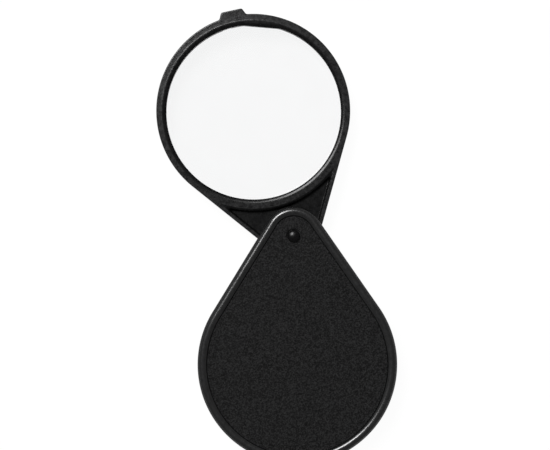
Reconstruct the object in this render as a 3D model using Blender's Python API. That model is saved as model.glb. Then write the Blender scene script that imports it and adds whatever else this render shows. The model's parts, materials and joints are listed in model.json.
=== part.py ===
"""Folding hand lens: a round lens in a moulded frame that swings out of a flat teardrop case.

Metres, +Z up. The lens lies on the rear cover, front cover up, with the lens swung out. The case runs from
the pivot along -Y. The lens sits a little nearer the pivot than the middle of the ring's outline. Everything
is modelled about the pivot axis and the middle plane of the frame, and is moved at the end, so that the
origin is the middle of the bounding box's bottom face.
"""

import math

import bmesh
import bpy
from mathutils import Matrix, Vector

MM = 0.001

# Driving dimensions, seen from the front
APERTURE_RADIUS = 29.9 * MM
RING_RADIUS = 33.2 * MM
PIVOT_TO_RING = 45.0 * MM
PIVOT_TO_LENS = 44.55 * MM
TANG_TIP_RADIUS = 8.4 * MM
CASE_RADIUS = 33.9 * MM
CASE_TIP_RADIUS = 10.05 * MM
PIVOT_TO_CASE = 43.6 * MM
OPEN_SHORT_OF_STRAIGHT = math.radians(16.2)

# Heights above the middle plane of the frame. The case is the same on both sides.
FRAME_HALF = 2.9 * MM
CAVITY_HALF = 5.0 * MM
COVER_FLOOR = 6.3 * MM
BEAD_CREST = 7.5 * MM
LEATHER_TOP = 7.1 * MM

# Lens
LENS_RADIUS = 30.8 * MM
LENS_SURFACE_RADIUS = 150.0 * MM
LENS_EDGE_HALF = 0.9 * MM

# Lens seat in the ring, its lip, and the groove of the snap ring
SEAT_RADIUS = 31.0 * MM
LIP_UNDER = 1.25 * MM
LIP_TOP = 2.34 * MM
LIP_SLOPE_RADIUS = 31.5 * MM
LIP_FLAT_DISTANCE = 29.2 * MM
LIP_FLAT_ANGLE = math.radians(67.3)
GROOVE_RADIUS = 31.5 * MM
GROOVE_TOP = -1.15 * MM
GROOVE_BOTTOM = -2.2 * MM
SNAP_RING_SPLIT = math.radians(6.0)

# Frame ribs and web
RIB_WIDTH = 1.6 * MM
RING_RIB_RADIUS = 34.4 * MM
TANG_BOSS_RADIUS = 7.4 * MM
WEB_HALF = 0.75 * MM

# Edge of the frame: distance in from the outline, height above the middle plane
FRAME_EDGE = ((0.0, 2.4), (0.12, 2.75), (0.45, 2.9))

# Thumb tab on the ring
TAB_ANGLE = math.radians(84.45)
TAB_ROOT_WIDTH = 9.0 * MM
TAB_END_WIDTH = 7.4 * MM
TAB_REACH = 2.0 * MM
TAB_HALF = 2.5 * MM

# Edge of a cover: distance in from the outline, height above the inner face
BEAD_PROFILE = (
    (0.1, 0.0),
    (0.0, 0.1),
    (0.0, 1.0),
    (0.11, 1.57),
    (0.44, 2.06),
    (0.93, 2.39),
    (1.4, 2.5),
    (1.75, 2.5),
    (2.2, 2.44),
    (2.6, 2.28),
    (2.9, 2.03),
    (3.05, 1.78),
    (3.1, 1.3),
)
LEATHER_INSET = 3.3 * MM
LEATHER_EDGE_ROUND = 0.3 * MM

# Spine, the wall that joins the covers along the right flank, half of it on each cover
SPINE_OUTER_INSET = 0.1 * MM
SPINE_INNER_INSET = 1.15 * MM
SPINE_END = 36.0 * MM
STOP_CLEARANCE = 0.2 * MM
TENON_PLACES = (13.0 * MM, 29.0 * MM)
TENON_LENGTH = 6.0 * MM
TENON_THICKNESS = 0.35 * MM
TENON_HEIGHT = 1.6 * MM
MORTISE_CLEARANCE = 0.1 * MM

# Pivot stack
SHANK_RADIUS = 1.6 * MM
NECK_RADIUS = 1.0 * MM
RUNNING_CLEARANCE = 0.1 * MM
HEAD_RADIUS = 2.2 * MM
HEAD_UNDER = 6.25 * MM
HEAD_SIDE = 6.4 * MM
HEAD_TOP = 7.45 * MM
BUSH_RADIUS = 2.6 * MM
COVER_HOLE_RADIUS = 1.75 * MM
COVER_BOSS_RADIUS = 5.2 * MM
FRONT_BOSS_FACE = 3.5 * MM
REAR_BOSS_FACE = 4.1 * MM
HEAD_SEAT = 5.9 * MM
HEAD_HOLE_RADIUS = 2.5 * MM
FRICTION_WASHER = (3.0 * MM, 3.45 * MM)
WAVE_WASHER_MIDDLE = 3.775 * MM
WAVE_HEIGHT = 0.12 * MM
WAVE_HALF_THICKNESS = 0.1 * MM
HEAD_WASHER = (5.95 * MM, 6.2 * MM)

GAP = 0.05 * MM
RING_STEPS = 72
SMALL_STEPS = 32
FRONT, REAR = 1, -1


def clear_scene():
    for obj in list(bpy.data.objects):
        bpy.data.objects.remove(obj)


def material(name, colour, roughness, metallic=0.0, alpha=1.0):
    made = bpy.data.materials.new(name)
    made.use_nodes = True
    shader = made.node_tree.nodes["Principled BSDF"]
    shader.inputs["Base Color"].default_value = (*colour, 1.0)
    shader.inputs["Roughness"].default_value = roughness
    shader.inputs["Metallic"].default_value = metallic
    shader.inputs["Alpha"].default_value = alpha
    return made


def empty(name, parent=None):
    made = bpy.data.objects.new(name, None)
    bpy.context.scene.collection.objects.link(made)
    made.parent = parent
    return made


def add_object(name, bm, parent, finish=None):
    """Turns a bmesh into an object whose faces point out, shaded smooth with sharp edges kept."""
    bmesh.ops.recalc_face_normals(bm, faces=bm.faces)
    mesh = bpy.data.meshes.new(name)
    bm.to_mesh(mesh)
    bm.free()
    mesh.shade_smooth()
    mesh.set_sharp_from_angle(angle=math.radians(35))
    made = bpy.data.objects.new(name, mesh)
    bpy.context.scene.collection.objects.link(made)
    made.parent = parent
    if finish:
        mesh.materials.append(finish)
    return made


def boolean(obj, operation, name, bm):
    """Joins a shape to an object, or cuts it away. The helper shape isn't part of the model."""
    helper = add_object(name, bm, obj.parent)
    helper.hide_render = True
    helper.display_type = "WIRE"
    modifier = obj.modifiers.new(name, "BOOLEAN")
    modifier.operation = operation
    modifier.object = helper


def teardrop(big_radius, tip_radius, distance, inset=0.0, toward=-1):
    """Outline of a circle round the pivot and a bigger one at a distance along Y, joined by tangents."""
    big, tip = big_radius - inset, tip_radius - inset
    lean = math.asin((big_radius - tip_radius) / distance)
    big_steps = round(RING_STEPS * (math.pi + 2 * lean) / math.tau)
    tip_steps = round(RING_STEPS * (math.pi - 2 * lean) / math.tau / 2) * 2
    points = []
    for step in range(big_steps + 1):
        angle = -math.pi - lean + (math.pi + 2 * lean) * step / big_steps
        points.append((big * math.cos(angle), big * math.sin(angle) - distance))
    for step in range(tip_steps + 1):
        angle = lean + (math.pi - 2 * lean) * step / tip_steps
        points.append((tip * math.cos(angle), tip * math.sin(angle)))
    if toward > 0:
        return [(-x, -y) for x, y in points]
    return points


def loft(loops):
    """Closed solid through loops of equally many (x, y, z) points, with flat ends."""
    bm = bmesh.new()
    rows = [[bm.verts.new(point) for point in loop] for loop in loops]
    count = len(rows[0])
    for lower, upper in zip(rows, rows[1:]):
        for i in range(count):
            j = (i + 1) % count
            bm.faces.new((lower[i], lower[j], upper[j], upper[i]))
    bm.faces.new(rows[0])
    bm.faces.new(rows[-1])
    return bm


def prism(outline, low, high):
    return loft([[(x, y, z) for x, y in outline] for z in (low, high)])


def cylinder(radius, low, high, centre=(0.0, 0.0)):
    return prism(circle(radius, SMALL_STEPS, centre), low, high)


def circle(radius, steps, centre=(0.0, 0.0)):
    angles = [math.tau * i / steps for i in range(steps)]
    return [(centre[0] + radius * math.cos(a), centre[1] + radius * math.sin(a)) for a in angles]


def turned(profile, steps, centre=(0.0, 0.0), height=lambda angle: 0.0):
    """Solid of revolution about Z from a closed profile of (radius, z). Radius 0 makes one point."""
    bm = bmesh.new()
    columns = []
    axis_points = {}
    for step in range(steps):
        angle = math.tau * step / steps
        column = []
        for radius, z in profile:
            if radius == 0:
                if z not in axis_points:
                    axis_points[z] = bm.verts.new((*centre, z))
                column.append(axis_points[z])
            else:
                x, y = centre[0] + radius * math.cos(angle), centre[1] + radius * math.sin(angle)
                column.append(bm.verts.new((x, y, z + height(angle))))
        columns.append(column)
    for step, column in enumerate(columns):
        beside = columns[(step + 1) % steps]
        for i in range(len(profile)):
            j = (i + 1) % len(profile)
            corners = list(dict.fromkeys((column[i], beside[i], beside[j], column[j])))
            if len(corners) > 2:
                bm.faces.new(corners)
    return bm


def dome(radius, side, top, steps=5):
    """Profile of a shallow dome, from its middle out to its side."""
    angles = [math.pi / 2 * i / steps for i in range(steps + 1)]
    return [(radius * math.sin(a), side + (top - side) * math.cos(a)) for a in angles]


def box(length, width, low, high, place):
    outline = [(x * length / 2, y * width / 2) for x, y in ((-1, -1), (1, -1), (1, 1), (-1, 1))]
    bm = prism(outline, low, high)
    bmesh.ops.transform(bm, matrix=place, verts=bm.verts)
    return bm


def flank_direction():
    """Unit normal of the case's right flank, and the direction along it away from the pivot."""
    lean = math.asin((CASE_RADIUS - CASE_TIP_RADIUS) / PIVOT_TO_CASE)
    normal = Vector((math.cos(lean), math.sin(lean)))
    return normal, Vector((normal.y, -normal.x))


def flank_place(along, inset):
    """Point at a distance along the right flank, and in from it."""
    normal, direction = flank_direction()
    return normal * (CASE_TIP_RADIUS - inset) + direction * along


def tenon_matrix(along):
    middle = flank_place(along, (SPINE_OUTER_INSET + SPINE_INNER_INSET) / 2)
    _, direction = flank_direction()
    turn = math.atan2(direction.y, direction.x)
    return Matrix.Translation((*middle, 0)) @ Matrix.Rotation(turn, 4, "Z")


def spine_outline():
    """Strip along the right flank. Its upper end lies along the frame's flank when the frame is straight."""
    normal, direction = flank_direction()
    frame_lean = math.asin((RING_RADIUS - TANG_TIP_RADIUS) / PIVOT_TO_RING)
    stop_normal = Vector((math.cos(-frame_lean), math.sin(-frame_lean)))
    stop_distance = TANG_TIP_RADIUS + STOP_CLEARANCE
    outline = []
    for inset in (SPINE_OUTER_INSET, SPINE_INNER_INSET):
        start = normal * (CASE_TIP_RADIUS - inset)
        along = (stop_distance - start.dot(stop_normal)) / direction.dot(stop_normal)
        ends = [flank_place(along, inset), flank_place(SPINE_END, inset)]
        outline += ends if inset == SPINE_OUTER_INSET else ends[::-1]
    return outline


def make_cover(name, side, boss_face, parent, finish):
    """Plate with a raised bead, a boss and a sunk seat round the rivet, and its half of the spine."""
    loops = []
    for inset, height in BEAD_PROFILE:
        z = side * (CAVITY_HALF + height * MM)
        outline = teardrop(CASE_RADIUS, CASE_TIP_RADIUS, PIVOT_TO_CASE, inset * MM)
        loops.append([(x, y, z) for x, y in outline])
    cover = add_object(name, loft(loops), parent, finish)
    root = side * (CAVITY_HALF + 0.5 * MM)
    low, high = sorted((side * boss_face, root))
    boolean(cover, "UNION", name + "_boss", cylinder(COVER_BOSS_RADIUS, low, high))
    low, high = sorted((side * GAP, root))
    boolean(cover, "UNION", name + "_spine", prism(spine_outline(), low, high))
    hole = cylinder(COVER_HOLE_RADIUS, -BEAD_CREST, BEAD_CREST)
    boolean(cover, "DIFFERENCE", name + "_hole", hole)
    low, high = sorted((side * HEAD_SEAT, side * BEAD_CREST))
    boolean(cover, "DIFFERENCE", name + "_head_seat", cylinder(HEAD_HOLE_RADIUS, low, high))
    for i, along in enumerate(TENON_PLACES):
        place = tenon_matrix(along)
        if side == REAR:
            tenon = box(TENON_LENGTH, TENON_THICKNESS, -1.0 * MM, TENON_HEIGHT, place)
            boolean(cover, "UNION", f"{name}_tenon_{i}", tenon)
        else:
            spare = 2 * MORTISE_CLEARANCE
            deep = TENON_HEIGHT + spare
            mortise = box(TENON_LENGTH + spare, TENON_THICKNESS + spare, -deep, deep, place)
            boolean(cover, "DIFFERENCE", f"{name}_mortise_{i}", mortise)


def make_leatherette(name, side, parent, finish):
    """Textured sheet glued into the recess of a cover, with a hole for the rivet's head."""
    low = COVER_FLOOR + GAP
    steps = ((0.0, low), (0.0, LEATHER_TOP - LEATHER_EDGE_ROUND), (LEATHER_EDGE_ROUND, LEATHER_TOP))
    loops = []
    for inset, z in steps:
        outline = teardrop(CASE_RADIUS, CASE_TIP_RADIUS, PIVOT_TO_CASE, LEATHER_INSET + inset)
        loops.append([(x, y, side * z) for x, y in outline])
    sheet = add_object(name, loft(loops), parent, finish)
    hole = cylinder(HEAD_HOLE_RADIUS, -BEAD_CREST, BEAD_CREST)
    boolean(sheet, "DIFFERENCE", name + "_hole", hole)


def make_rivet(parent, finish):
    """Domed post from the front, and the cap that snaps onto its neck at the rear."""
    shank_end = -COVER_FLOOR + 0.1 * MM
    neck_end = -HEAD_TOP + 0.45 * MM
    head = dome(HEAD_RADIUS, HEAD_SIDE, HEAD_TOP)
    post = [
        (HEAD_RADIUS, HEAD_UNDER),
        (SHANK_RADIUS, HEAD_UNDER),
        (SHANK_RADIUS, shank_end),
        (NECK_RADIUS, shank_end),
        (NECK_RADIUS, neck_end),
        (0.0, neck_end),
    ]
    add_object("pivot_rivet", turned(head + post, SMALL_STEPS), parent, finish)
    socket = NECK_RADIUS + RUNNING_CLEARANCE
    socket_end = neck_end - RUNNING_CLEARANCE
    cap = [(radius, -z) for radius, z in head]
    cap += [(HEAD_RADIUS, -HEAD_UNDER), (socket, -HEAD_UNDER), (socket, socket_end), (0.0, socket_end)]
    add_object("rivet_cap", turned(cap, SMALL_STEPS), parent, finish)


def washer(name, inner, outer, low, high, parent, finish, height=lambda angle: 0.0):
    profile = [(inner, low), (outer, low), (outer, high), (inner, high)]
    add_object(name, turned(profile, SMALL_STEPS, height=height), parent, finish)


def make_washers(parent, metal, nylon):
    inner = SHANK_RADIUS + 2 * RUNNING_CLEARANCE
    low, high = FRICTION_WASHER
    outer = COVER_BOSS_RADIUS - 0.2 * MM
    washer("front_friction_washer", inner, outer, low, high, parent, nylon)
    washer("rear_friction_washer", inner, outer, -high, -low, parent, nylon)
    low, high = HEAD_WASHER
    outer = HEAD_RADIUS + 0.2 * MM
    inner = COVER_HOLE_RADIUS
    washer("rear_rivet_washer", inner, outer, -high, -low, parent, metal)
    low = -WAVE_WASHER_MIDDLE - WAVE_HALF_THICKNESS
    high = -WAVE_WASHER_MIDDLE + WAVE_HALF_THICKNESS
    inner, outer = SHANK_RADIUS + 0.4 * MM, COVER_BOSS_RADIUS - 0.9 * MM
    washer("wave_washer", inner, outer, low, high, parent, metal, lambda a: WAVE_HEIGHT * math.cos(3 * a))


def lens_opening():
    """Cutter for the ring: a sloped mouth, the front lip with its short flat, and the lens seat."""
    over = 1.0 * MM
    mouth = LIP_SLOPE_RADIUS + over * (LIP_SLOPE_RADIUS - APERTURE_RADIUS) / (FRAME_HALF - LIP_TOP)
    levels = (
        (mouth, FRAME_HALF + over),
        (APERTURE_RADIUS, LIP_TOP),
        (APERTURE_RADIUS, LIP_UNDER),
        (SEAT_RADIUS, LIP_UNDER),
        (SEAT_RADIUS, GROOVE_TOP),
        (GROOVE_RADIUS, GROOVE_TOP),
        (GROOVE_RADIUS, GROOVE_BOTTOM),
        (SEAT_RADIUS, GROOVE_BOTTOM),
        (SEAT_RADIUS, GROOVE_BOTTOM - 0.3 * MM),
        (SEAT_RADIUS + 0.4 * MM + over, -FRAME_HALF - over),
    )
    loops = []
    for radius, z in levels:
        loop = []
        for step in range(RING_STEPS):
            angle = math.tau * step / RING_STEPS
            reach = radius
            beside = math.cos(angle - LIP_FLAT_ANGLE)
            if radius == APERTURE_RADIUS and beside > 0:
                reach = min(radius, LIP_FLAT_DISTANCE / beside)
            loop.append((reach * math.cos(angle), PIVOT_TO_LENS + reach * math.sin(angle), z))
        loops.append(loop)
    return loft(loops)


def web_outline(steps=12):
    """The recess of the web: below the ring's rib, between the flank ribs, above the pivot boss."""
    lean = math.asin((RING_RADIUS - TANG_TIP_RADIUS) / PIVOT_TO_RING)
    rib_line = TANG_TIP_RADIUS - RIB_WIDTH
    right = Vector((math.cos(-lean), math.sin(-lean)))
    along = Vector((-right.y, right.x))
    centre = Vector((0.0, PIVOT_TO_RING))
    offset = right * rib_line - centre
    middle = offset.dot(along)
    reach = math.sqrt(middle**2 - offset.length_squared + RING_RIB_RADIUS**2)
    top = right * rib_line + along * (-middle - reach)
    low = right * rib_line + along * math.sqrt(TANG_BOSS_RADIUS**2 - rib_line**2)
    top_angle = math.atan2(top.x, PIVOT_TO_RING - top.y)
    low_angle = math.atan2(low.x, low.y)
    points = []
    for step in range(steps + 1):
        angle = top_angle * (1 - 2 * step / steps)
        points.append((RING_RIB_RADIUS * math.sin(angle), PIVOT_TO_RING - RING_RIB_RADIUS * math.cos(angle)))
    for step in range(steps + 1):
        angle = -low_angle * (1 - 2 * step / steps)
        points.append((TANG_BOSS_RADIUS * math.sin(angle), TANG_BOSS_RADIUS * math.cos(angle)))
    return points


def thumb_tab():
    """Tapered lug that stands out of the ring, to swing the lens with."""
    root = RING_RADIUS - 1.2 * MM
    taper = (TAB_ROOT_WIDTH - TAB_END_WIDTH) / 2 / TAB_REACH
    root_half = TAB_ROOT_WIDTH / 2 + taper * (RING_RADIUS - root)
    end_half = TAB_END_WIDTH / 2
    end = RING_RADIUS + TAB_REACH
    outline = [(root, -root_half), (end, -end_half), (end, end_half), (root, root_half)]
    bm = prism(outline, -TAB_HALF, TAB_HALF)
    place = Matrix.Translation((0, PIVOT_TO_RING, 0)) @ Matrix.Rotation(TAB_ANGLE, 4, "Z")
    bmesh.ops.transform(bm, matrix=place, verts=bm.verts)
    return bm


def make_frame(parent, finish):
    """Ring, tang and thumb tab moulded in one, with a recessed web on both sides."""
    rear_edge = [(inset, -z) for inset, z in reversed(FRAME_EDGE)]
    loops = []
    for inset, z in (*rear_edge, *FRAME_EDGE):
        outline = teardrop(RING_RADIUS, TANG_TIP_RADIUS, PIVOT_TO_RING, inset * MM, toward=1)
        loops.append([(x, y, z * MM) for x, y in outline])
    frame = add_object("lens_frame", loft(loops), parent, finish)
    boolean(frame, "UNION", "lens_frame_tab", thumb_tab())
    boolean(frame, "DIFFERENCE", "lens_frame_opening", lens_opening())
    for side, name in ((FRONT, "front"), (REAR, "rear")):
        low, high = sorted((side * WEB_HALF, side * (FRAME_HALF + 1.0 * MM)))
        boolean(frame, "DIFFERENCE", f"lens_frame_{name}_web", prism(web_outline(), low, high))
    bore = cylinder(BUSH_RADIUS + GAP, -BEAD_CREST, BEAD_CREST)
    boolean(frame, "DIFFERENCE", "lens_frame_bore", bore)


def lens_height(radius):
    """Half thickness of the lens at a distance from its middle."""
    edge_sag = LENS_SURFACE_RADIUS - math.sqrt(LENS_SURFACE_RADIUS**2 - LENS_RADIUS**2)
    sag = LENS_SURFACE_RADIUS - math.sqrt(LENS_SURFACE_RADIUS**2 - radius**2)
    return LENS_EDGE_HALF + edge_sag - sag


def make_lens(parent, finish, steps=6):
    radii = [LENS_RADIUS * i / steps for i in range(steps + 1)]
    profile = [(r, lens_height(r)) for r in radii] + [(r, -lens_height(r)) for r in radii[::-1]]
    add_object("lens", turned(profile, RING_STEPS, (0.0, PIVOT_TO_LENS)), parent, finish)


def make_retaining_ring(parent, finish):
    """Split snap ring in a groove of the frame, which holds the lens against the front lip."""
    outer = GROOVE_RADIUS - 0.1 * MM
    top = GROOVE_TOP - GAP
    bottom = GROOVE_BOTTOM + GAP
    bevel = 0.3 * MM
    profile = (
        (APERTURE_RADIUS, top),
        (outer, top),
        (outer, bottom),
        (APERTURE_RADIUS + bevel, bottom),
        (APERTURE_RADIUS, bottom + bevel),
    )
    sections = []
    for step in range(RING_STEPS + 1):
        angle = math.pi / 2 + SNAP_RING_SPLIT / 2 + (math.tau - SNAP_RING_SPLIT) * step / RING_STEPS
        x, y = math.cos(angle), math.sin(angle)
        sections.append([(r * x, PIVOT_TO_LENS + r * y, z) for r, z in profile])
    add_object("lens_retaining_ring", loft(sections), parent, finish)


def make_bush(parent, finish):
    half = FRAME_HALF + 0.04 * MM
    washer("pivot_bush", SHANK_RADIUS + RUNNING_CLEARANCE, BUSH_RADIUS, -half, half, parent, finish)


def rest_on_ground(pivot):
    """Moves everything so that the origin is the middle of the bounding box's bottom face."""
    bpy.context.view_layer.update()
    graph = bpy.context.evaluated_depsgraph_get()
    corners = []
    for obj in bpy.context.scene.objects:
        if obj.type == "MESH" and not obj.hide_render:
            solid = obj.evaluated_get(graph)
            corners += [solid.matrix_world @ vertex.co for vertex in solid.data.vertices]
    low = [min(c[axis] for c in corners) for axis in range(3)]
    high = [max(c[axis] for c in corners) for axis in range(3)]
    pivot.location = (-(low[0] + high[0]) / 2, -(low[1] + high[1]) / 2, -low[2])


def main():
    clear_scene()
    plastic = material("black_plastic", (0.022, 0.022, 0.023), 0.42)
    leather = material("black_leatherette", (0.018, 0.018, 0.019), 0.62)
    blacked = material("blacked_steel", (0.03, 0.03, 0.032), 0.3, metallic=1.0)
    steel = material("spring_steel", (0.55, 0.55, 0.56), 0.35, metallic=1.0)
    nylon = material("white_nylon", (0.75, 0.74, 0.7), 0.5)
    brass = material("brass", (0.72, 0.52, 0.22), 0.3, metallic=1.0)
    acrylic = material("clear_acrylic", (0.95, 0.97, 0.97), 0.02, alpha=0.3)

    pivot = empty("pivot")
    swing = empty("lens_swing", pivot)
    swing.rotation_euler.z = OPEN_SHORT_OF_STRAIGHT

    make_cover("front_cover", FRONT, FRONT_BOSS_FACE, pivot, plastic)
    make_cover("rear_cover", REAR, REAR_BOSS_FACE, pivot, plastic)
    for side, word in ((FRONT, "front"), (REAR, "rear")):
        make_leatherette(word + "_leatherette", side, pivot, leather)
    make_rivet(pivot, blacked)
    make_washers(pivot, steel, nylon)

    make_frame(swing, plastic)
    make_lens(swing, acrylic)
    make_retaining_ring(swing, plastic)
    make_bush(swing, brass)
    rest_on_ground(pivot)


main()
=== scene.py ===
"""The looks of the folding hand lens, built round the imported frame, in metres.

Each piece is drawn about the pivot, with the pivot's axis as local Z, the frame's middle plane at z = 0 and
the lens straight out along +Y. It is then placed where the frame says: the case as it is, and the lens arm
turned by its swing at rest. Sizes are in millimetres until a mesh is made.
"""

import json
import math

import bmesh
import bpy
import numpy as np
from mathutils import Matrix, Vector, geometry, noise


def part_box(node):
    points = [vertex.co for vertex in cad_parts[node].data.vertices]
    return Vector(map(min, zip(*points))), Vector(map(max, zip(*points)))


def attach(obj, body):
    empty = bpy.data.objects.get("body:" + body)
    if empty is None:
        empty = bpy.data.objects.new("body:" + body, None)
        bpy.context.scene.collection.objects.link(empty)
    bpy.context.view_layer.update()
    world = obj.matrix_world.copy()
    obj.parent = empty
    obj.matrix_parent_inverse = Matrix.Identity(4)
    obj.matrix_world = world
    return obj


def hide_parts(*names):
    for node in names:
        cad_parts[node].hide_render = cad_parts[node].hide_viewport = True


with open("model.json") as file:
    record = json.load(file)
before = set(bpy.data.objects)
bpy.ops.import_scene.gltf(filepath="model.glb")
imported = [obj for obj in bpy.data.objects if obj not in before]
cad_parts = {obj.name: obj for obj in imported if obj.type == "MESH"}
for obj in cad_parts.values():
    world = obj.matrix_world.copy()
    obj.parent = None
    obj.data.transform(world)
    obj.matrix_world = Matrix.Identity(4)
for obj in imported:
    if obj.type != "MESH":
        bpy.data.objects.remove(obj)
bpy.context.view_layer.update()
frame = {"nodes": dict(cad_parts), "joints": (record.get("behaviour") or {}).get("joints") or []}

# ---------------------------------------------------------------------------------------------------------
# Sizes
# ---------------------------------------------------------------------------------------------------------

MM = 0.001
SWING = frame["joints"][0]
PIVOT = Vector(SWING["pos_m"])
REST_SWING = -math.radians(SWING["range_deg"][0])
CASE_PLACE = Matrix.Translation(PIVOT)
ARM_PLACE = CASE_PLACE @ Matrix.Rotation(REST_SWING, 4, "Z")

# Case, from the front cover's box
COVER_LOW, COVER_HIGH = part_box("front_cover")
CASE_R = (COVER_HIGH.x - COVER_LOW.x) / 2 / MM
CASE_TIP_R = (COVER_HIGH.y - PIVOT.y) / MM
CASE_DISTANCE = (PIVOT.y - COVER_LOW.y) / MM - CASE_R
CASE_LEAN = math.asin((CASE_R - CASE_TIP_R) / CASE_DISTANCE)

# Heights above the frame's middle plane
CAVITY = 5.0
FRONT_BOSS_FACE, REAR_BOSS_FACE = 3.5, 4.1
HEAD_SEAT = 5.9
COVER_FLOOR = 6.3
LEATHER_TOP = 7.03
BEAD_CREST = 7.5

# Edge of a cover: radius of the bead's outer roll, width of its flat crest, width and height of its inner
# slope, and how far in the dull side wall reaches
BEAD_OUTER, BEAD_LAND, BEAD_INNER, BEAD_DROP = 1.7, 0.05, 1.42, 0.9
SIDE_WALL_INSET = 0.45

# Leatherette panel, its grain, and the distance between the points that draw the grain
LEATHER_INSET = 3.3
LEATHER_EDGE_ROUND = 0.22
GRAIN_HEIGHT, PEBBLE_SIZE, WRINKLE_SIZE = 0.09, 0.8, 2.1
GRAIN_SPACING = 0.42

# Rivet's place in a cover
COVER_HOLE_R = 1.75
COVER_BOSS_R = 5.1
HEAD_HOLE_R = 2.5

# Spine, along the right flank of the case
SPINE_INSETS = (0.3, 1.15)
SPINE_START, SPINE_END = 5.9, 35.9
SPINE_HALF_GAP = 0.06

# Lens frame, its ring and its tang
RING_R = 33.2
RING_DISTANCE = 45.0
TANG_R = 8.4
FRAME_HALF = 2.9
FRAME_LEAN = math.asin((RING_R - TANG_R) / RING_DISTANCE)
RING_CENTRE = (0.0, RING_DISTANCE)
LENS_CENTRE = (0.0, 44.55)
FRAME_EDGE_ROUND = 0.35
BORE_R = 2.65

# Thumb tab
TAB_ANGLE = math.radians(84.45)
TAB_ROOT_HALF, TAB_END_HALF, TAB_REACH = 4.5, 3.7, 1.95

# Recess in the tang. The last two say about how long its sides are, for the number of steps
RIB = 1.6
RING_RIB_R = 34.4
TANG_BOSS_R = 7.4
WEB_HALF = 0.75
WEB_TOP_ROUND = 0.8
WEB_FLANK, WEB_ARC = 20.0, 0.9 * RING_RIB_R

# Lip round the lens, with a short flat near the tab, and the seat behind it
APERTURE_R = 29.9
LIP_ROUND, LIP_TURN, LIP_STEPS = 3.0, math.radians(31), 12
LIP_START = APERTURE_R + LIP_ROUND * math.sin(LIP_TURN)
LIP_RAISED = 0.022
LIP_UNDER = 1.25
FLAT_DISTANCE = 29.2
FLAT_ANGLE = math.radians(67.3)
SEAT_R = 31.0
GROOVE_R = 31.5
GROOVE_TOP, GROOVE_BOTTOM = -1.15, -2.2
SNAP_RING_SPLIT = math.radians(6.0)

# Lens
LENS_R = 30.8
LENS_SURFACE_R = 150.0
LENS_EDGE_HALF = 0.9

# Rivet
HEAD_R = 2.17
HEAD_UNDER = 6.28
HEAD_SIDE = 6.42
HEAD_TOP = 7.43
SHANK_R, SHANK_END = 1.58, -6.15
NECK_R, NECK_END = 1.0, -6.95
CAP_BORE_R, CAP_BORE_END = 1.12, -7.08

# Distance between points along an outline, and the number of points round what is round
SPACING = 0.3
SMALL_STEPS, HOLE_STEPS, LENS_STEPS, SNAP_RING_STEPS, APERTURE_STEPS = 96, 64, 240, 360, 720

# Slot of a piece's second material: a darker copy of its plastic that paints shade on a side wall, a lip's
# slope or a recess
PAINTED_SHADE_SLOT = 1


# ---------------------------------------------------------------------------------------------------------
# Outlines, in millimetres: closed loops with as many points whatever the inset
# ---------------------------------------------------------------------------------------------------------

def along_arc(centre, radius, start, end, count):
    """Points from the start of an arc up to its end, which is left out."""
    angles = start + (end - start) * np.arange(count) / count
    return np.column_stack((centre[0] + radius * np.cos(angles), centre[1] + radius * np.sin(angles)))


def along_line(start, end, count):
    """Points from the start of a line up to its end, which is left out."""
    start, end = np.array(start), np.array(end)
    return start + (end - start) * (np.arange(count) / count)[:, None]


def polar(radius, angle, centre=(0.0, 0.0)):
    return centre[0] + radius * math.cos(angle), centre[1] + radius * math.sin(angle)


def steps(length):
    """Number of steps along a stretch of an outline."""
    return max(2, round(length / SPACING))


def softened(points, sigma):
    """A closed loop with its corners rounded. sigma is in points."""
    reach = math.ceil(4 * sigma)
    offsets = np.arange(-reach, reach + 1)
    weights = np.exp(-0.5 * (offsets / sigma) ** 2)
    weights /= weights.sum()
    return sum(w * np.roll(points, -k, axis=0) for k, w in zip(offsets, weights))


def circle(radius, count, centre=(0.0, 0.0)):
    return along_arc(centre, radius, 0.0, math.tau, count)


def case_outline(inset):
    """The teardrop of the case: a big circle below the pivot and a small one round it, joined by tangents."""
    big, tip = CASE_R - inset, CASE_TIP_R - inset
    centre = (0.0, -CASE_DISTANCE)
    right, left = CASE_LEAN, math.pi - CASE_LEAN
    flank = math.sqrt(CASE_DISTANCE**2 - (CASE_R - CASE_TIP_R) ** 2)
    return np.vstack((
        along_arc(centre, big, left, math.tau + right, steps(CASE_R * (math.pi + 2 * CASE_LEAN))),
        along_line(polar(big, right, centre), polar(tip, right), steps(flank)),
        along_arc((0.0, 0.0), tip, right, left, steps(CASE_TIP_R * (left - right))),
        along_line(polar(tip, left), polar(big, left, centre), steps(flank)),
    ))


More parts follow.
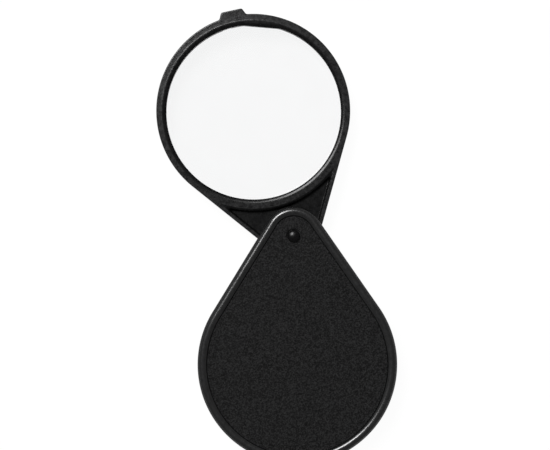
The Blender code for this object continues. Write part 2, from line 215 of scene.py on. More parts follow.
def frame_outline(inset):
    """The lens frame from the front: ring with its thumb tab, straight flanks, and the tang's round end."""
    ring, tip = RING_R - inset, TANG_R - inset
    right, left = -FRAME_LEAN, math.pi + FRAME_LEAN
    slope = (TAB_ROOT_HALF - TAB_END_HALF) / TAB_REACH
    side = TAB_ROOT_HALF - inset * math.hypot(1, slope)
    root_half = side
    for _ in range(5):
        root_half = side - slope * (math.sqrt(ring**2 - root_half**2) - RING_R)
    root = math.asin(root_half / ring)
    end = RING_R + TAB_REACH - inset
    end_half = side - slope * (end - RING_R)
    reach, half_angle = math.hypot(end, end_half), math.atan2(end_half, end)
    roots = [polar(ring, TAB_ANGLE + sign * root, RING_CENTRE) for sign in (-1, 1)]
    ends = [polar(reach, TAB_ANGLE + sign * half_angle, RING_CENTRE) for sign in (-1, 1)]
    flank = math.sqrt(RING_DISTANCE**2 - (RING_R - TANG_R) ** 2)
    before, after = TAB_ANGLE - right, left - TAB_ANGLE
    outline = np.vstack((
        along_arc(RING_CENTRE, ring, right, TAB_ANGLE - root, steps(RING_R * before)),
        along_line(roots[0], ends[0], steps(TAB_REACH)),
        along_line(ends[0], ends[1], steps(2 * TAB_END_HALF)),
        along_line(ends[1], roots[1], steps(TAB_REACH)),
        along_arc(RING_CENTRE, ring, TAB_ANGLE + root, left, steps(RING_R * after)),
        along_line(polar(ring, left, RING_CENTRE), polar(tip, left), steps(flank)),
        along_arc((0.0, 0.0), tip, left, math.tau + right, steps(TANG_R * (math.tau + right - left))),
        along_line(polar(tip, right), polar(ring, right, RING_CENTRE), steps(flank)),
    ))
    return softened(outline, 1.3)


def web_outline(inset):
    """The recess in the tang: under the ring's rib, between the flank ribs and above the pivot's boss.

    A negative inset goes full measure at the ring, half at the flanks and a tenth at the boss.
    """
    ring_side = RING_RIB_R + inset
    flank = TANG_R - RIB - max(inset, 0.5 * inset)
    boss = TANG_BOSS_R + max(inset, 0.1 * inset)
    normal = np.array((math.cos(FRAME_LEAN), -math.sin(FRAME_LEAN)))
    along = np.array((-normal[1], normal[0]))
    offset = normal * flank - np.array(RING_CENTRE)
    middle = offset @ along
    top = normal * flank + along * (-middle - math.sqrt(middle**2 - offset @ offset + ring_side**2))
    low = normal * flank + along * math.sqrt(boss**2 - flank**2)
    mirror = np.array((-1.0, 1.0))
    top_angle = math.atan2(top[1] - RING_DISTANCE, top[0])
    low_angle = math.atan2(low[1], low[0])
    top_left, low_left = -math.pi - top_angle, math.pi - low_angle
    down = steps(WEB_FLANK)
    outline = np.vstack((
        along_line(low, top, down),
        along_arc(RING_CENTRE, ring_side, top_angle, top_left, steps(WEB_ARC)),
        along_line(top * mirror, low * mirror, down),
        along_arc((0.0, 0.0), boss, low_left, low_angle, steps(TANG_BOSS_R)),
    ))
    return softened(outline, 4.5)


def aperture_outline(radius, flat):
    """Circle round the lens, with a short flat near the thumb tab at a distance from the middle."""
    angles = math.tau * np.arange(APERTURE_STEPS) / APERTURE_STEPS
    beside = np.cos(angles - FLAT_ANGLE)
    reach = np.where(beside > 0.5, np.minimum(radius, flat / np.maximum(beside, 0.5)), radius)
    points = np.column_stack((reach * np.cos(angles), LENS_CENTRE[1] + reach * np.sin(angles)))
    return softened(points, 1.5)


# ---------------------------------------------------------------------------------------------------------
# Solids from outlines
# ---------------------------------------------------------------------------------------------------------

class Solid:
    """A mesh put together from strips between loops and flat faces that fill between loops."""

    def __init__(self):
        self.bm = bmesh.new()

    def loop(self, outline, z):
        return [self.bm.verts.new((x * MM, y * MM, z * MM)) for x, y in outline]

    def strip(self, loops):
        for lower, upper in zip(loops, loops[1:]):
            for i in range(len(lower)):
                j = (i + 1) % len(lower)
                self.bm.faces.new((lower[i], lower[j], upper[j], upper[i]))

    def profile(self, outline, rows):
        """Strip through an outline's insets. Each row is (inset, z). Returns its first and last loop."""
        loops = [self.loop(outline(inset), z) for inset, z in rows]
        self.strip(loops)
        return loops[0], loops[-1]

    def fill(self, *loops):
        edges = []
        for loop in loops:
            for i, vertex in enumerate(loop):
                other = loop[(i + 1) % len(loop)]
                edges.append(self.bm.edges.get((vertex, other)) or self.bm.edges.new((vertex, other)))
        bmesh.ops.triangle_fill(self.bm, use_beauty=True, use_dissolve=False, edges=edges)

    def finish(self, name, place, body, slot, node, *materials, sharp=40.0):
        """Makes the piece that rides on a body in place of a CAD node. Edges over sharp degrees stay hard."""
        bmesh.ops.recalc_face_normals(self.bm, faces=self.bm.faces)
        mesh = bpy.data.meshes.new(name)
        self.bm.to_mesh(mesh)
        self.bm.free()
        mesh.transform(place)
        mesh.shade_smooth()
        mesh.set_sharp_from_angle(angle=math.radians(sharp))
        for material in materials:
            mesh.materials.append(material)
        piece = bpy.data.objects.new(name, mesh)
        bpy.context.scene.collection.objects.link(piece)
        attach(piece, body)
        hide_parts(node)
        return piece


def fillet(start, end, centre_inset, centre_z, radius, count):
    """Rows of (inset, z) along a quarter round or part of one, angles in degrees from the inset axis."""
    rows = []
    for i in range(count + 1):
        angle = math.radians(start + (end - start) * i / count)
        rows.append((centre_inset + radius * math.cos(angle), centre_z + radius * math.sin(angle)))
    return rows


def turned(profile, count, centre=(0.0, 0.0)):
    """Closed solid of revolution about Z. Its open profile of (radius, z) starts and ends on the axis."""
    solid = Solid()
    rings = [solid.loop(circle(radius, count, centre), z) for radius, z in profile if radius > 0]
    solid.strip(rings)
    for ring, (_, z) in ((rings[0], profile[0]), (rings[-1], profile[-1])):
        tip = solid.bm.verts.new((centre[0] * MM, centre[1] * MM, z * MM))
        for i in range(count):
            solid.bm.faces.new((tip, ring[i], ring[(i + 1) % count]))
    return solid


# ---------------------------------------------------------------------------------------------------------
# Materials
# ---------------------------------------------------------------------------------------------------------

class Finish:
    """A node material under construction, in object coordinates, which are metres."""

    def __init__(self, name):
        self.material = bpy.data.materials.new(name)
        self.material.use_nodes = True
        self.tree = self.material.node_tree
        self.shader = self.tree.nodes["Principled BSDF"]
        self.where = self.tree.nodes.new("ShaderNodeTexCoord").outputs["Object"]

    def set(self, **values):
        for key, value in values.items():
            self.shader.inputs[key.replace("_", " ")].default_value = value

    def join(self, source, socket):
        self.tree.links.new(source, socket)

    def stretched(self, scale):
        node = self.tree.nodes.new("ShaderNodeMapping")
        node.inputs["Scale"].default_value = scale
        self.join(self.where, node.inputs["Vector"])
        return node.outputs["Vector"]

    def noise(self, size_mm, detail=3.0, roughness=0.5, vector=None):
        """Noise whose features are about so many millimetres wide."""
        node = self.tree.nodes.new("ShaderNodeTexNoise")
        node.inputs["Scale"].default_value = 1 / (size_mm * MM)
        node.inputs["Detail"].default_value = detail
        node.inputs["Roughness"].default_value = roughness
        self.join(vector or self.where, node.inputs["Vector"])
        return node.outputs["Fac"]

    def cells(self, size_mm):
        """Distance from the middle of the nearest cell."""
        node = self.tree.nodes.new("ShaderNodeTexVoronoi")
        node.inputs["Scale"].default_value = 1 / (size_mm * MM)
        self.join(self.where, node.inputs["Vector"])
        return node.outputs["Distance"]

    def spread(self, source, low, high, to_low, to_high):
        """Stretches the values from low to high over those from to_low to to_high."""
        node = self.tree.nodes.new("ShaderNodeMapRange")
        for key, value in (("From Min", low), ("From Max", high), ("To Min", to_low), ("To Max", to_high)):
            node.inputs[key].default_value = value
        self.join(source, node.inputs["Value"])
        return node.outputs["Result"]

    def math(self, operation, a, b):
        node = self.tree.nodes.new("ShaderNodeMath")
        node.operation = operation
        for socket, value in zip(node.inputs, (a, b)):
            if isinstance(value, (int, float)):
                socket.default_value = value
            else:
                self.join(value, socket)
        return node.outputs[0]

    def colours(self, factor, *stops):
        """Colour ramp. Each stop is (position, (r, g, b))."""
        node = self.tree.nodes.new("ShaderNodeValToRGB")
        ramp = node.color_ramp
        while len(ramp.elements) < len(stops):
            ramp.elements.new(0.5)
        for element, (position, colour) in zip(ramp.elements, stops):
            element.position = position
            element.color = (*colour, 1.0)
        self.join(factor, node.inputs["Fac"])
        return node.outputs["Color"]

    def bump(self, height, distance_mm, strength=1.0, under=None):
        node = self.tree.nodes.new("ShaderNodeBump")
        node.inputs["Distance"].default_value = distance_mm * MM
        node.inputs["Strength"].default_value = strength
        self.join(height, node.inputs["Height"])
        if under:
            self.join(under, node.inputs["Normal"])
        return node.outputs["Normal"]

    def finished(self, colour, roughness=None, normal=None):
        for source, key in ((colour, "Base Color"), (roughness, "Roughness"), (normal, "Normal")):
            if source:
                self.join(source, self.shader.inputs[key])
        return self.material


def moulded_plastic(name, dark, light, rough_range, texture, gloss):
    """Black injection-moulded plastic: a spark-eroded skin, cloudy gloss and faint rubbing marks."""
    f = Finish(name)
    f.set(Specular_IOR_Level=gloss)
    cloud = f.noise(1.1, 4.0, 0.8)
    skin = f.noise(0.35, 2.0, 0.5)
    rub = f.noise(1.2, 3.0, 0.65, f.stretched((1.0, 0.25, 1.0)))
    colour = f.colours(cloud, (0.36, dark), (0.64, light))
    rough = f.spread(f.math("ADD", f.math("MULTIPLY", cloud, 0.5), f.math("MULTIPLY", rub, 0.5)),
                     0.3, 0.7, *rough_range)
    broad = f.bump(rub, 0.03 * texture, 0.5)
    normal = f.bump(skin, 0.018 * texture, 0.8, broad)
    return f.finished(colour, rough, normal)


def leatherette():
    """Black embossed vinyl: fine pebbles with dull valleys and smoother tops, its tone varying in fine
    speckles.
    """
    f = Finish("black_leatherette")
    f.set(Specular_IOR_Level=0.12)
    pebble = f.cells(0.75)
    fine = f.noise(0.3, 3.0, 0.6)
    speckle = f.noise(0.42, 1.0, 0.7)
    height = f.math("SUBTRACT", f.math("MULTIPLY", fine, 0.5), pebble)
    colour = f.colours(speckle, (0.40, (0.004, 0.004, 0.0041)), (0.64, (0.026, 0.026, 0.0265)))
    rough = f.spread(pebble, 0.1, 0.6, 0.5, 0.72)
    return f.finished(colour, rough, f.bump(height, 0.12, 1.0))


def enamel():
    """Glossy black enamel over the rivet's head, with a faint orange peel."""
    f = Finish("black_enamel")
    f.set(Specular_IOR_Level=0.25)
    peel = f.noise(0.5, 2.0)
    colour = f.colours(peel, (0.3, (0.003, 0.003, 0.0032)), (0.7, (0.006, 0.006, 0.0063)))
    return f.finished(colour, f.spread(peel, 0.3, 0.7, 0.26, 0.32), f.bump(peel, 0.01, 0.5))


def metal(name, dark, light, rough_range):
    """Turned or rolled metal with fine tool marks."""
    f = Finish(name)
    f.set(Metallic=1.0)
    marks = f.noise(0.15, 2.0, 0.5, f.stretched((1.0, 1.0, 4.0)))
    colour = f.colours(marks, (0.3, dark), (0.7, light))
    return f.finished(colour, f.spread(marks, 0.3, 0.7, *rough_range), f.bump(marks, 0.005, 0.6))


def nylon():
    f = Finish("natural_nylon")
    f.set(Specular_IOR_Level=0.4)
    cloud = f.noise(0.8, 3.0)
    colour = f.colours(cloud, (0.3, (0.66, 0.65, 0.60)), (0.7, (0.78, 0.77, 0.73)))
    return f.finished(colour, f.spread(cloud, 0.3, 0.7, 0.45, 0.6), f.bump(cloud, 0.01, 0.5))


def clear_acrylic():
    """Polished clear acrylic, with the faintest unevenness left by the mould."""
    f = Finish("clear_acrylic")
    f.set(Transmission_Weight=1.0, IOR=1.49)
    cloud = f.noise(9.0, 2.0)
    colour = f.colours(cloud, (0.3, (0.98, 0.983, 0.985)), (0.7, (0.99, 0.993, 0.995)))
    return f.finished(colour, f.spread(cloud, 0.3, 0.7, 0.0, 0.015))


CASE_PLASTIC = moulded_plastic(
    "case_plastic", (0.010, 0.010, 0.0103), (0.020, 0.020, 0.0204), (0.21, 0.28), texture=0.25, gloss=0.8)
# Darker, duller copy of the case plastic for the side wall: its darker colour is painted shade
SHADED_SIDE_PLASTIC = moulded_plastic(
    "side_wall_plastic_painted_shade", (0.005, 0.005, 0.0052), (0.013, 0.013, 0.0134), (0.3, 0.4), texture=0.25, gloss=0.1)
FRAME_PLASTIC = moulded_plastic(
    "frame_plastic", (0.006, 0.006, 0.0062), (0.038, 0.038, 0.0386), (0.15, 0.23), texture=1.0, gloss=0.26)
# Darker copy of the frame plastic for the lip's slope and the recesses: painted shade
SHADED_RECESS_PLASTIC = moulded_plastic(
    "recess_plastic_painted_shade", (0.002, 0.002, 0.0021), (0.010, 0.010, 0.0103), (0.2, 0.28), texture=0.25, gloss=0.25)
LEATHERETTE = leatherette()
ENAMEL = enamel()
STEEL = metal("spring_steel", (0.42, 0.42, 0.43), (0.6, 0.6, 0.61), (0.25, 0.4))
BRASS = metal("turned_brass", (0.62, 0.43, 0.17), (0.78, 0.58, 0.27), (0.22, 0.36))
NYLON = nylon()
ACRYLIC = clear_acrylic()


# ---------------------------------------------------------------------------------------------------------
# Case
# ---------------------------------------------------------------------------------------------------------

def bead_rows():
    """Section of a cover's edge, from the inner face round the bead to the groove and the floor."""
    rows = [(0.12, CAVITY)] + fillet(270, 180, 0.1, CAVITY + 0.1, 0.1, 3)
    rows += fillet(180, 90, BEAD_OUTER, BEAD_CREST - BEAD_OUTER, BEAD_OUTER, 14)
    for angle in np.radians(np.linspace(84, 0, 15)):
        inset = BEAD_OUTER + BEAD_LAND + BEAD_INNER * math.cos(angle)
        rows.append((inset, BEAD_CREST - BEAD_DROP * (1 - math.sin(angle))))
    rows += [(3.19, COVER_FLOOR + 0.04), (3.25, COVER_FLOOR), (3.5, COVER_FLOOR)]
    return rows


def spine_outline(inset):
    """Strip along the right flank, on a cover's inner face."""
    outer, inner = (CASE_TIP_R - SPINE_INSETS[0] - inset, CASE_TIP_R - SPINE_INSETS[1] + inset)
    normal = np.array((math.cos(CASE_LEAN), math.sin(CASE_LEAN)))
    along = np.array((normal[1], -normal[0]))
    start, end = SPINE_START + inset, SPINE_END - inset
    corners = [normal * outer + along * start, normal * inner + along * start]
    corners += [normal * inner + along * end, normal * outer + along * end]
    across, down = steps(SPINE_INSETS[1] - SPINE_INSETS[0]), steps(SPINE_END - SPINE_START)
    sides = zip(corners, corners[1:] + corners[:1], (across, down, across, down))
    return np.vstack([along_line(a, b, count) for a, b, count in sides])


def make_cover(name, side, boss_face, node):
    """Plate with a raised bead, a boss and seat for the rivet, and half of the spine on its inner face.

    Its side wall, up to where the bead faces more up than out, takes a darker, less glossy copy of the case
    plastic: the darker colour is painted shade, the lower gloss dims its reflections.
    """
    solid = Solid()
    rows = bead_rows()
    loops = [solid.loop(case_outline(inset), side * z) for inset, z in rows]
    inner, floor = loops[0], loops[-1]
    wall_end = next(i for i, (inset, _) in enumerate(rows) if inset > SIDE_WALL_INSET)
    solid.strip(loops[:wall_end + 1])
    # The side wall takes the darker, duller copy of the plastic: its darker colour is painted shade
    for face in solid.bm.faces:
        face.material_index = PAINTED_SHADE_SLOT
    solid.strip(loops[wall_end:])
    soft = 0.15
    boss = [(COVER_BOSS_R + 0.4, CAVITY), (COVER_BOSS_R + 0.1, CAVITY - 0.1), (COVER_BOSS_R, CAVITY - 0.35)]
    boss += [(COVER_BOSS_R, boss_face + soft), (COVER_BOSS_R - soft, boss_face)]
    boss += [(COVER_HOLE_R + soft, boss_face), (COVER_HOLE_R, boss_face + soft)]
    boss += [(COVER_HOLE_R, HEAD_SEAT - 0.1), (COVER_HOLE_R + 0.1, HEAD_SEAT)]
    boss += [(HEAD_HOLE_R - 0.05, HEAD_SEAT), (HEAD_HOLE_R, HEAD_SEAT + 0.05)]
    boss += [(HEAD_HOLE_R, COVER_FLOOR - 0.05), (HEAD_HOLE_R + 0.05, COVER_FLOOR)]
    well = [solid.loop(circle(radius, SMALL_STEPS), side * z) for radius, z in boss]
    solid.strip(well)
    rows = [(-0.08, CAVITY), (0.0, CAVITY - 0.15), (0.0, SPINE_HALF_GAP + 0.12), (0.12, SPINE_HALF_GAP)]
    spine, spine_end = solid.profile(spine_outline, [(inset, side * z) for inset, z in rows])
    solid.fill(inner, well[0], spine)
    solid.fill(spine_end)
    solid.fill(floor, well[-1])
    return solid.finish(name, CASE_PLACE, "case", "case_plastic", node, CASE_PLASTIC, SHADED_SIDE_PLASTIC)


def pebbles(x, y):
    """Height of the leatherette's grain at a place, from 0 in the valleys to about 1."""
    near, next_near = noise.voronoi(Vector((x / PEBBLE_SIZE, y / PEBBLE_SIZE, 0.0)))[0][:2]
    wrinkle = noise.noise(Vector((x / WRINKLE_SIZE, y / WRINKLE_SIZE, 5.0)))
    return min(1.0, (next_near - near) / 0.45) * (0.8 + 0.35 * wrinkle)


def grain_points(outline, inset, hole):
    """Places for the grain, in rows of equilateral triangles, clear of the sheet's edge and of its hole."""
    row_height = GRAIN_SPACING * 0.866
    clearance = GRAIN_SPACING * 0.6
    low_x, low_y = outline.min(axis=0)
    high_x, high_y = outline.max(axis=0)
    points = []
    for row in range(int((high_y - low_y) / row_height)):
        y = low_y + row * row_height
        for column in range(int((high_x - low_x) / GRAIN_SPACING)):
            x = low_x + (column + 0.5 * (row % 2)) * GRAIN_SPACING
            if math.hypot(x, y) > hole + clearance and within_case(x, y, inset + clearance):
                points.append(Vector((x, y)))
    return points


def add_grain(solid, side, outline_loop, inset, hole_loop, hole):
    """Covers a sheet's top, between the last loops of its edge and of its hole, with embossed pebbles."""
    outline = case_outline(inset)
    points = [Vector(point) for point in outline] + [Vector(point) for point in circle(hole, HOLE_STEPS)]
    points += grain_points(outline, inset, hole)
    count = len(outline)
    constraints = [(i, (i + 1) % count) for i in range(count)]
    constraints += [(count + i, count + (i + 1) % HOLE_STEPS) for i in range(HOLE_STEPS)]
    made = geometry.delaunay_2d_cdt(points, constraints, [], 1, 1e-7)
    vertices, triangles, sources = made[0], made[2], made[3]
    boundary = outline_loop + hole_loop
    top = []
    for place, source in zip(vertices, sources):
        if source[0] < len(boundary):
            top.append(boundary[source[0]])
        else:
            z = LEATHER_TOP - GRAIN_HEIGHT * (1.0 - pebbles(place.x, place.y))
            top.append(solid.bm.verts.new((place.x * MM, place.y * MM, side * z * MM)))
    for triangle in triangles:
        middle = sum((vertices[i] for i in triangle), Vector((0.0, 0.0))) / 3
        if middle.length > hole:
            solid.bm.faces.new([top[i] for i in triangle])


def make_leatherette(name, side, node):
    """Sheet with an embossed grain, rolled over at its edge and round the rivet's hole."""
    low = COVER_FLOOR + 0.06
    soft = LEATHER_EDGE_ROUND
    rim = [(LEATHER_INSET + 0.02, low)] + fillet(180, 90, LEATHER_INSET + soft, LEATHER_TOP - soft, soft, 5)
    hole_rows = [(HEAD_HOLE_R, low), (HEAD_HOLE_R, LEATHER_TOP - 0.2)]
    hole_rows += [(HEAD_HOLE_R + 0.06, LEATHER_TOP - 0.06), (HEAD_HOLE_R + 0.22, LEATHER_TOP)]
    solid = Solid()
    outline_loops = [solid.loop(case_outline(inset), side * z) for inset, z in rim]
    hole_loops = [solid.loop(circle(radius, HOLE_STEPS), side * z) for radius, z in hole_rows]
    solid.strip(outline_loops)
    solid.strip(hole_loops)
    solid.fill(outline_loops[0], hole_loops[0])
    add_grain(solid, side, outline_loops[-1], rim[-1][0], hole_loops[-1], hole_rows[-1][0])
    panel = solid.finish(name, CASE_PLACE, "case", "leatherette", node, LEATHERETTE)


def within_case(x, y, inset):
    """Whether a place is inside the case's outline by at least the inset."""
    big, tip = CASE_R - inset, CASE_TIP_R - inset
    if math.hypot(x, y + CASE_DISTANCE) <= big or math.hypot(x, y) <= tip:
        return True
    normal = (math.cos(CASE_LEAN), math.sin(CASE_LEAN))
    along = normal[1] * abs(x) - normal[0] * y
    flank = math.sqrt(CASE_DISTANCE**2 - (CASE_R - CASE_TIP_R) ** 2)
    return 0 <= along <= flank and abs(x) * normal[0] + y * normal[1] <= tip


def make_rivet():
    """Domed post, and the cap pressed on its neck from behind."""
    dome_steps = 14
    head = [(0.0, HEAD_TOP)]
    for i in range(1, dome_steps + 1):
        angle = math.pi / 2 * i / dome_steps
        head.append((HEAD_R * math.sin(angle), HEAD_SIDE + (HEAD_TOP - HEAD_SIDE) * math.cos(angle)))
    under_r = HEAD_R - 0.04
    post = head + [(under_r, HEAD_UNDER), (SHANK_R, HEAD_UNDER), (SHANK_R, SHANK_END)]
    post += [(NECK_R, SHANK_END - 0.05), (NECK_R, NECK_END), (0.0, NECK_END)]
    cap = [(radius, -z) for radius, z in head] + [(under_r, -HEAD_UNDER), (CAP_BORE_R, -HEAD_UNDER)]
    cap += [(CAP_BORE_R, CAP_BORE_END), (0.0, CAP_BORE_END)]
    for name, profile, node in (("rivet_post", post, "pivot_rivet"), ("rivet_rear_cap", cap, "rivet_cap")):
        turned(profile, SMALL_STEPS).finish(name, CASE_PLACE, "case", "blacked_metal", node, ENAMEL)


# ---------------------------------------------------------------------------------------------------------
# Lens arm
# ---------------------------------------------------------------------------------------------------------

def lip_place(step):
    """A row of (radius, z) on the round of the lip, from its crest inwards."""
    angle = LIP_TURN * step / LIP_STEPS
    crest = FRAME_HALF + LIP_RAISED
    return LIP_START - LIP_ROUND * math.sin(angle), crest - LIP_ROUND * (1 - math.cos(angle))


def face_rows():
    """The ring's face, from its flat up to the crest of the lip."""
    rows = [(LIP_START + 0.45, FRAME_HALF), (LIP_START + 0.3, FRAME_HALF + 0.25 * LIP_RAISED)]
    return rows + [(LIP_START + 0.15, FRAME_HALF + 0.75 * LIP_RAISED), lip_place(0)]


def lip_rows():
    """The lip's slope towards the lens, and its edge."""
    rows = [lip_place(step) for step in range(1, LIP_STEPS + 1)]
    return rows + [(APERTURE_R, LIP_UNDER + 0.07), (APERTURE_R + 0.06, LIP_UNDER)]


def seat_rows():
    """The lens's seat behind the lip, the snap ring's groove, and the rounded mouth at the rear."""
    rear = -FRAME_HALF
    rows = [(SEAT_R, LIP_UNDER), (SEAT_R, GROOVE_TOP), (GROOVE_R, GROOVE_TOP), (GROOVE_R, GROOVE_BOTTOM)]
    rows += [(SEAT_R, GROOVE_BOTTOM), (SEAT_R, rear + 0.4), (SEAT_R + 0.08, rear + 0.18)]
    return rows + [(SEAT_R + 0.25, rear + 0.05), (SEAT_R + 0.45, rear), (SEAT_R + 0.6, rear)]


def web_rows():
    """Side of the recess, from the frame's face over a round edge down to the web, as (inset, z)."""
    soft = WEB_TOP_ROUND
    rows = [(-soft - 0.07, FRAME_HALF)] + fillet(90, 0, -soft, FRAME_HALF - soft, soft, 8)
    rows += [(0.06, WEB_HALF + 0.3), (0.1, WEB_HALF + 0.14), (0.2, WEB_HALF + 0.04)]
    return rows + [(0.36, WEB_HALF), (0.5, WEB_HALF)]


def make_frame():
    """Ring, tang and thumb tab in one moulding, with a recess on both sides of the tang.

    The lip's slope and the recesses take a darker copy of the frame's plastic than the ring's face: painted
    shade.
    """
    solid = Solid()
    top, soft = FRAME_HALF, FRAME_EDGE_ROUND
    edge = [(soft + 0.12, top)] + fillet(90, 180, soft, top - soft, soft, 6)
    rows = edge + [(inset, -z) for inset, z in reversed(edge)]
    front_outer, rear_outer = solid.profile(frame_outline, rows)

    face = face_rows()
    loops = []
    for radius, z in face + lip_rows() + seat_rows():
        on_lip = z > 0 and radius < LIP_START - 0.3
        flat = FLAT_DISTANCE + radius - APERTURE_R if on_lip else radius
        loops.append(solid.loop(aperture_outline(radius, flat), z))
    slope = len(face)
    solid.strip(loops[:slope + 1])
    unshaded_polygons = set(solid.bm.faces)
    solid.strip(loops[slope:])
    # The lip's slope and the seat behind it take the darker copy of the plastic: painted shade on the slope
    for polygon in set(solid.bm.faces) - unshaded_polygons:
        polygon.material_index = PAINTED_SHADE_SLOT
    bore = [solid.loop(circle(BORE_R, SMALL_STEPS), z) for z in (FRAME_HALF, -FRAME_HALF)]
    solid.strip(bore)

    webs = []
    outside = set(solid.bm.faces)
    for side in (1, -1):
        rim, floor = solid.profile(web_outline, [(inset, side * z) for inset, z in web_rows()])
        solid.fill(floor)
        webs.append(rim)
    # The recesses take the darker copy of the plastic: painted shade
    for polygon in set(solid.bm.faces) - outside:
        polygon.material_index = PAINTED_SHADE_SLOT
    solid.fill(front_outer, loops[0], webs[0], bore[0])
    solid.fill(rear_outer, loops[-1], webs[1], bore[1])
    solid.finish("ring_and_tang", ARM_PLACE, "lens_arm", "frame_plastic", "lens_frame",
                 FRAME_PLASTIC, SHADED_RECESS_PLASTIC)


def make_lens():
    """Clear biconvex lens with a narrow ground edge."""
    def height(radius):
        drop = LENS_SURFACE_R - math.sqrt(LENS_SURFACE_R**2 - radius**2)
        rim_drop = LENS_SURFACE_R - math.sqrt(LENS_SURFACE_R**2 - LENS_R**2)
        return LENS_EDGE_HALF + rim_drop - drop

    face_steps = 24
    radii = [(LENS_R - 0.15) * i / face_steps for i in range(face_steps + 1)]
    front = [(radius, height(radius)) for radius in radii]
    edge_r, edge = LENS_R - 0.02, LENS_EDGE_HALF - 0.12
    profile = front + [(edge_r, edge), (edge_r, -edge)] + [(radius, -z) for radius, z in reversed(front)]
    solid = turned(profile, LENS_STEPS, LENS_CENTRE)
    lens = solid.finish("lens_glass", ARM_PLACE, "lens_arm", "clear_acrylic", "lens", ACRYLIC, sharp=30.0)
    # The floor seen through the lens is lit as it is beside it
    lens.visible_shadow = False
    lens.visible_diffuse = False
    return lens


def make_snap_ring():
    """Split ring in the groove behind the lens, with rounded inner edges. Its profile is of (radius, z)."""
    profile = [(29.92, -1.5), (29.95, -1.3), (30.1, -1.21), (31.38, -1.21), (31.38, -2.14)]
    profile += [(30.45, -2.14), (30.2, -2.1), (30.02, -1.95), (29.93, -1.75)]
    solid = Solid()
    sections = []
    for i in range(SNAP_RING_STEPS + 1):
        turn = (math.tau - SNAP_RING_SPLIT) * i / SNAP_RING_STEPS
        angle = math.pi / 2 + SNAP_RING_SPLIT / 2 + turn
        section = []
        for radius, z in profile:
            x, y = polar(radius, angle, LENS_CENTRE)
            section.append(solid.bm.verts.new((x * MM, y * MM, z * MM)))
        sections.append(section)
    solid.strip(sections)
    solid.bm.faces.new(sections[0])
    solid.bm.faces.new(sections[-1])
    solid.finish("snap_ring", ARM_PLACE, "lens_arm", "frame_plastic", "lens_retaining_ring", FRAME_PLASTIC)


def finish_hidden_parts():
    """The pivot's bush and washers keep their shapes and get their metals and nylon."""
    looks = {
        "pivot_bush": BRASS,
        "wave_washer": STEEL,
        "rear_rivet_washer": STEEL,
        "front_friction_washer": NYLON,
        "rear_friction_washer": NYLON,
    }
    for node, material in looks.items():
        frame["nodes"][node].data.materials.clear()
        frame["nodes"][node].data.materials.append(material)


# ---------------------------------------------------------------------------------------------------------
# Studio
# ---------------------------------------------------------------------------------------------------------

# Camera: metres to a pixel just below the cover's floor, and where the middle of the view is from the pivot
VIEW_TILT = math.radians(1.65)
VIEW_DISTANCE = 0.40
VIEW_SCALE = 0.3392 * MM
VIEW_OFFSET = (-6.34 * MM, 3.77 * MM)
IMAGE_WIDTH = 550
SENSOR = 36.0

# Light
KEY_DIRECTION, KEY_DISTANCE, KEY_SIDE, KEY_POWER = (-0.30, 0.46, 1.0), 2.0, 0.7, 32.0
HORIZON_GLOW, ZENITH_GLOW, GRADIENT_END = 0.2, 0.1, 0.7
FLOOR_GLOW = 0.965
FLOOR_HALF = 1.5
FLOOR_DEPTH = 0.0002
WHITE = (1.0, 1.0, 1.0, 1.0)


def make_floor():
    """Pale floor that glows, so that it stays even from edge to edge."""
    bm = bmesh.new()
    bmesh.ops.create_grid(bm, x_segments=8, y_segments=8, size=FLOOR_HALF)
    mesh = bpy.data.meshes.new("floor")
    bm.to_mesh(mesh)
    bm.free()
    floor = bpy.data.objects.new("floor", mesh)
    bpy.context.scene.collection.objects.link(floor)
    floor.location.z = -FLOOR_DEPTH
    f = Finish("pale_floor")
    f.set(Roughness=0.9, Specular_IOR_Level=0.0, Emission_Strength=FLOOR_GLOW, Emission_Color=WHITE)
    tone = f.noise(60.0, 2.0)
    f.finished(f.colours(tone, (0.3, (0.055, 0.055, 0.055)), (0.7, (0.065, 0.065, 0.065))))
    mesh.materials.append(f.material)


def make_key_light(spared):
    """Square light from the upper left, turned to the pivot. It spares one piece, the lens."""
    data = bpy.data.lights.new("key", "AREA")
    data.shape = "SQUARE"
    data.size = KEY_SIDE
    data.energy = KEY_POWER
    light = bpy.data.objects.new("key", data)
    bpy.context.scene.collection.objects.link(light)
    toward = Vector(KEY_DIRECTION).normalized()
    light.location = PIVOT + toward * KEY_DISTANCE
    light.rotation_mode = "QUATERNION"
    light.rotation_quaternion = toward.to_track_quat("Z", "Y")
    unlit = bpy.data.collections.new("key_spared")
    unlit.objects.link(spared)
    light.light_linking.receiver_collection = unlit
    unlit.collection_objects[0].light_linking.link_state = "EXCLUDE"


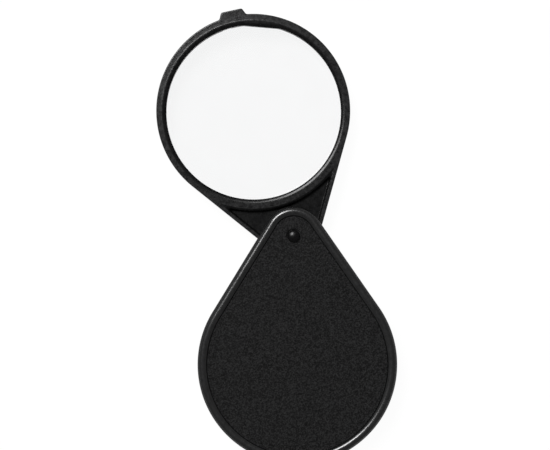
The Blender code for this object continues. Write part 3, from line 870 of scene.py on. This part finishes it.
def make_world():
    """Dim surroundings for the object, brighter towards the horizon. The camera sees a white backdrop."""
    world = bpy.data.worlds.new("studio")
    bpy.context.scene.world = world
    world.use_nodes = True
    tree = world.node_tree
    dim = tree.nodes["Background"]
    dim.inputs["Color"].default_value = WHITE
    where = tree.nodes.new("ShaderNodeTexCoord")
    split = tree.nodes.new("ShaderNodeSeparateXYZ")
    rise = tree.nodes.new("ShaderNodeMapRange")
    ends = {"From Min": 0.0, "From Max": GRADIENT_END, "To Min": HORIZON_GLOW, "To Max": ZENITH_GLOW}
    for key, value in ends.items():
        rise.inputs[key].default_value = value
    tree.links.new(where.outputs["Generated"], split.inputs[0])
    tree.links.new(split.outputs["Z"], rise.inputs["Value"])
    tree.links.new(rise.outputs[0], dim.inputs["Strength"])
    backdrop = tree.nodes.new("ShaderNodeBackground")
    backdrop.inputs["Color"].default_value = WHITE
    backdrop.inputs["Strength"].default_value = 1.0
    path = tree.nodes.new("ShaderNodeLightPath")
    mix = tree.nodes.new("ShaderNodeMixShader")
    tree.links.new(path.outputs["Is Camera Ray"], mix.inputs["Fac"])
    tree.links.new(dim.outputs[0], mix.inputs[1])
    tree.links.new(backdrop.outputs[0], mix.inputs[2])
    tree.links.new(mix.outputs[0], tree.nodes["World Output"].inputs["Surface"])


def make_camera():
    """Looks straight down on the case's front, with the case's long axis a little off upright."""
    data = bpy.data.cameras.new("camera")
    camera = bpy.data.objects.new("camera", data)
    bpy.context.scene.collection.objects.link(camera)
    right = Vector((math.cos(VIEW_TILT), -math.sin(VIEW_TILT), 0.0))
    up = Vector((math.sin(VIEW_TILT), math.cos(VIEW_TILT), 0.0))
    rim = PIVOT + Vector((0.0, 0.0, (COVER_FLOOR - 0.2) * MM))
    camera.location = rim + right * VIEW_OFFSET[0] + up * VIEW_OFFSET[1] + Vector((0.0, 0.0, VIEW_DISTANCE))
    camera.rotation_euler = (0.0, 0.0, -VIEW_TILT)
    data.sensor_width = SENSOR
    data.lens = SENSOR * VIEW_DISTANCE / (VIEW_SCALE * IMAGE_WIDTH)
    data.clip_start = 0.01
    bpy.context.scene.camera = camera


make_camera()
make_world()
make_floor()
bpy.context.scene.view_settings.view_transform = "Standard"

front_shell = make_cover("front_shell", 1, FRONT_BOSS_FACE, "front_cover")
rear_shell = make_cover("rear_shell", -1, REAR_BOSS_FACE, "rear_cover")
make_leatherette("front_panel", 1, "front_leatherette")
make_leatherette("rear_panel", -1, "rear_leatherette")
make_rivet()
make_frame()
glass = make_lens()
make_snap_ring()
finish_hidden_parts()
make_key_light(glass)
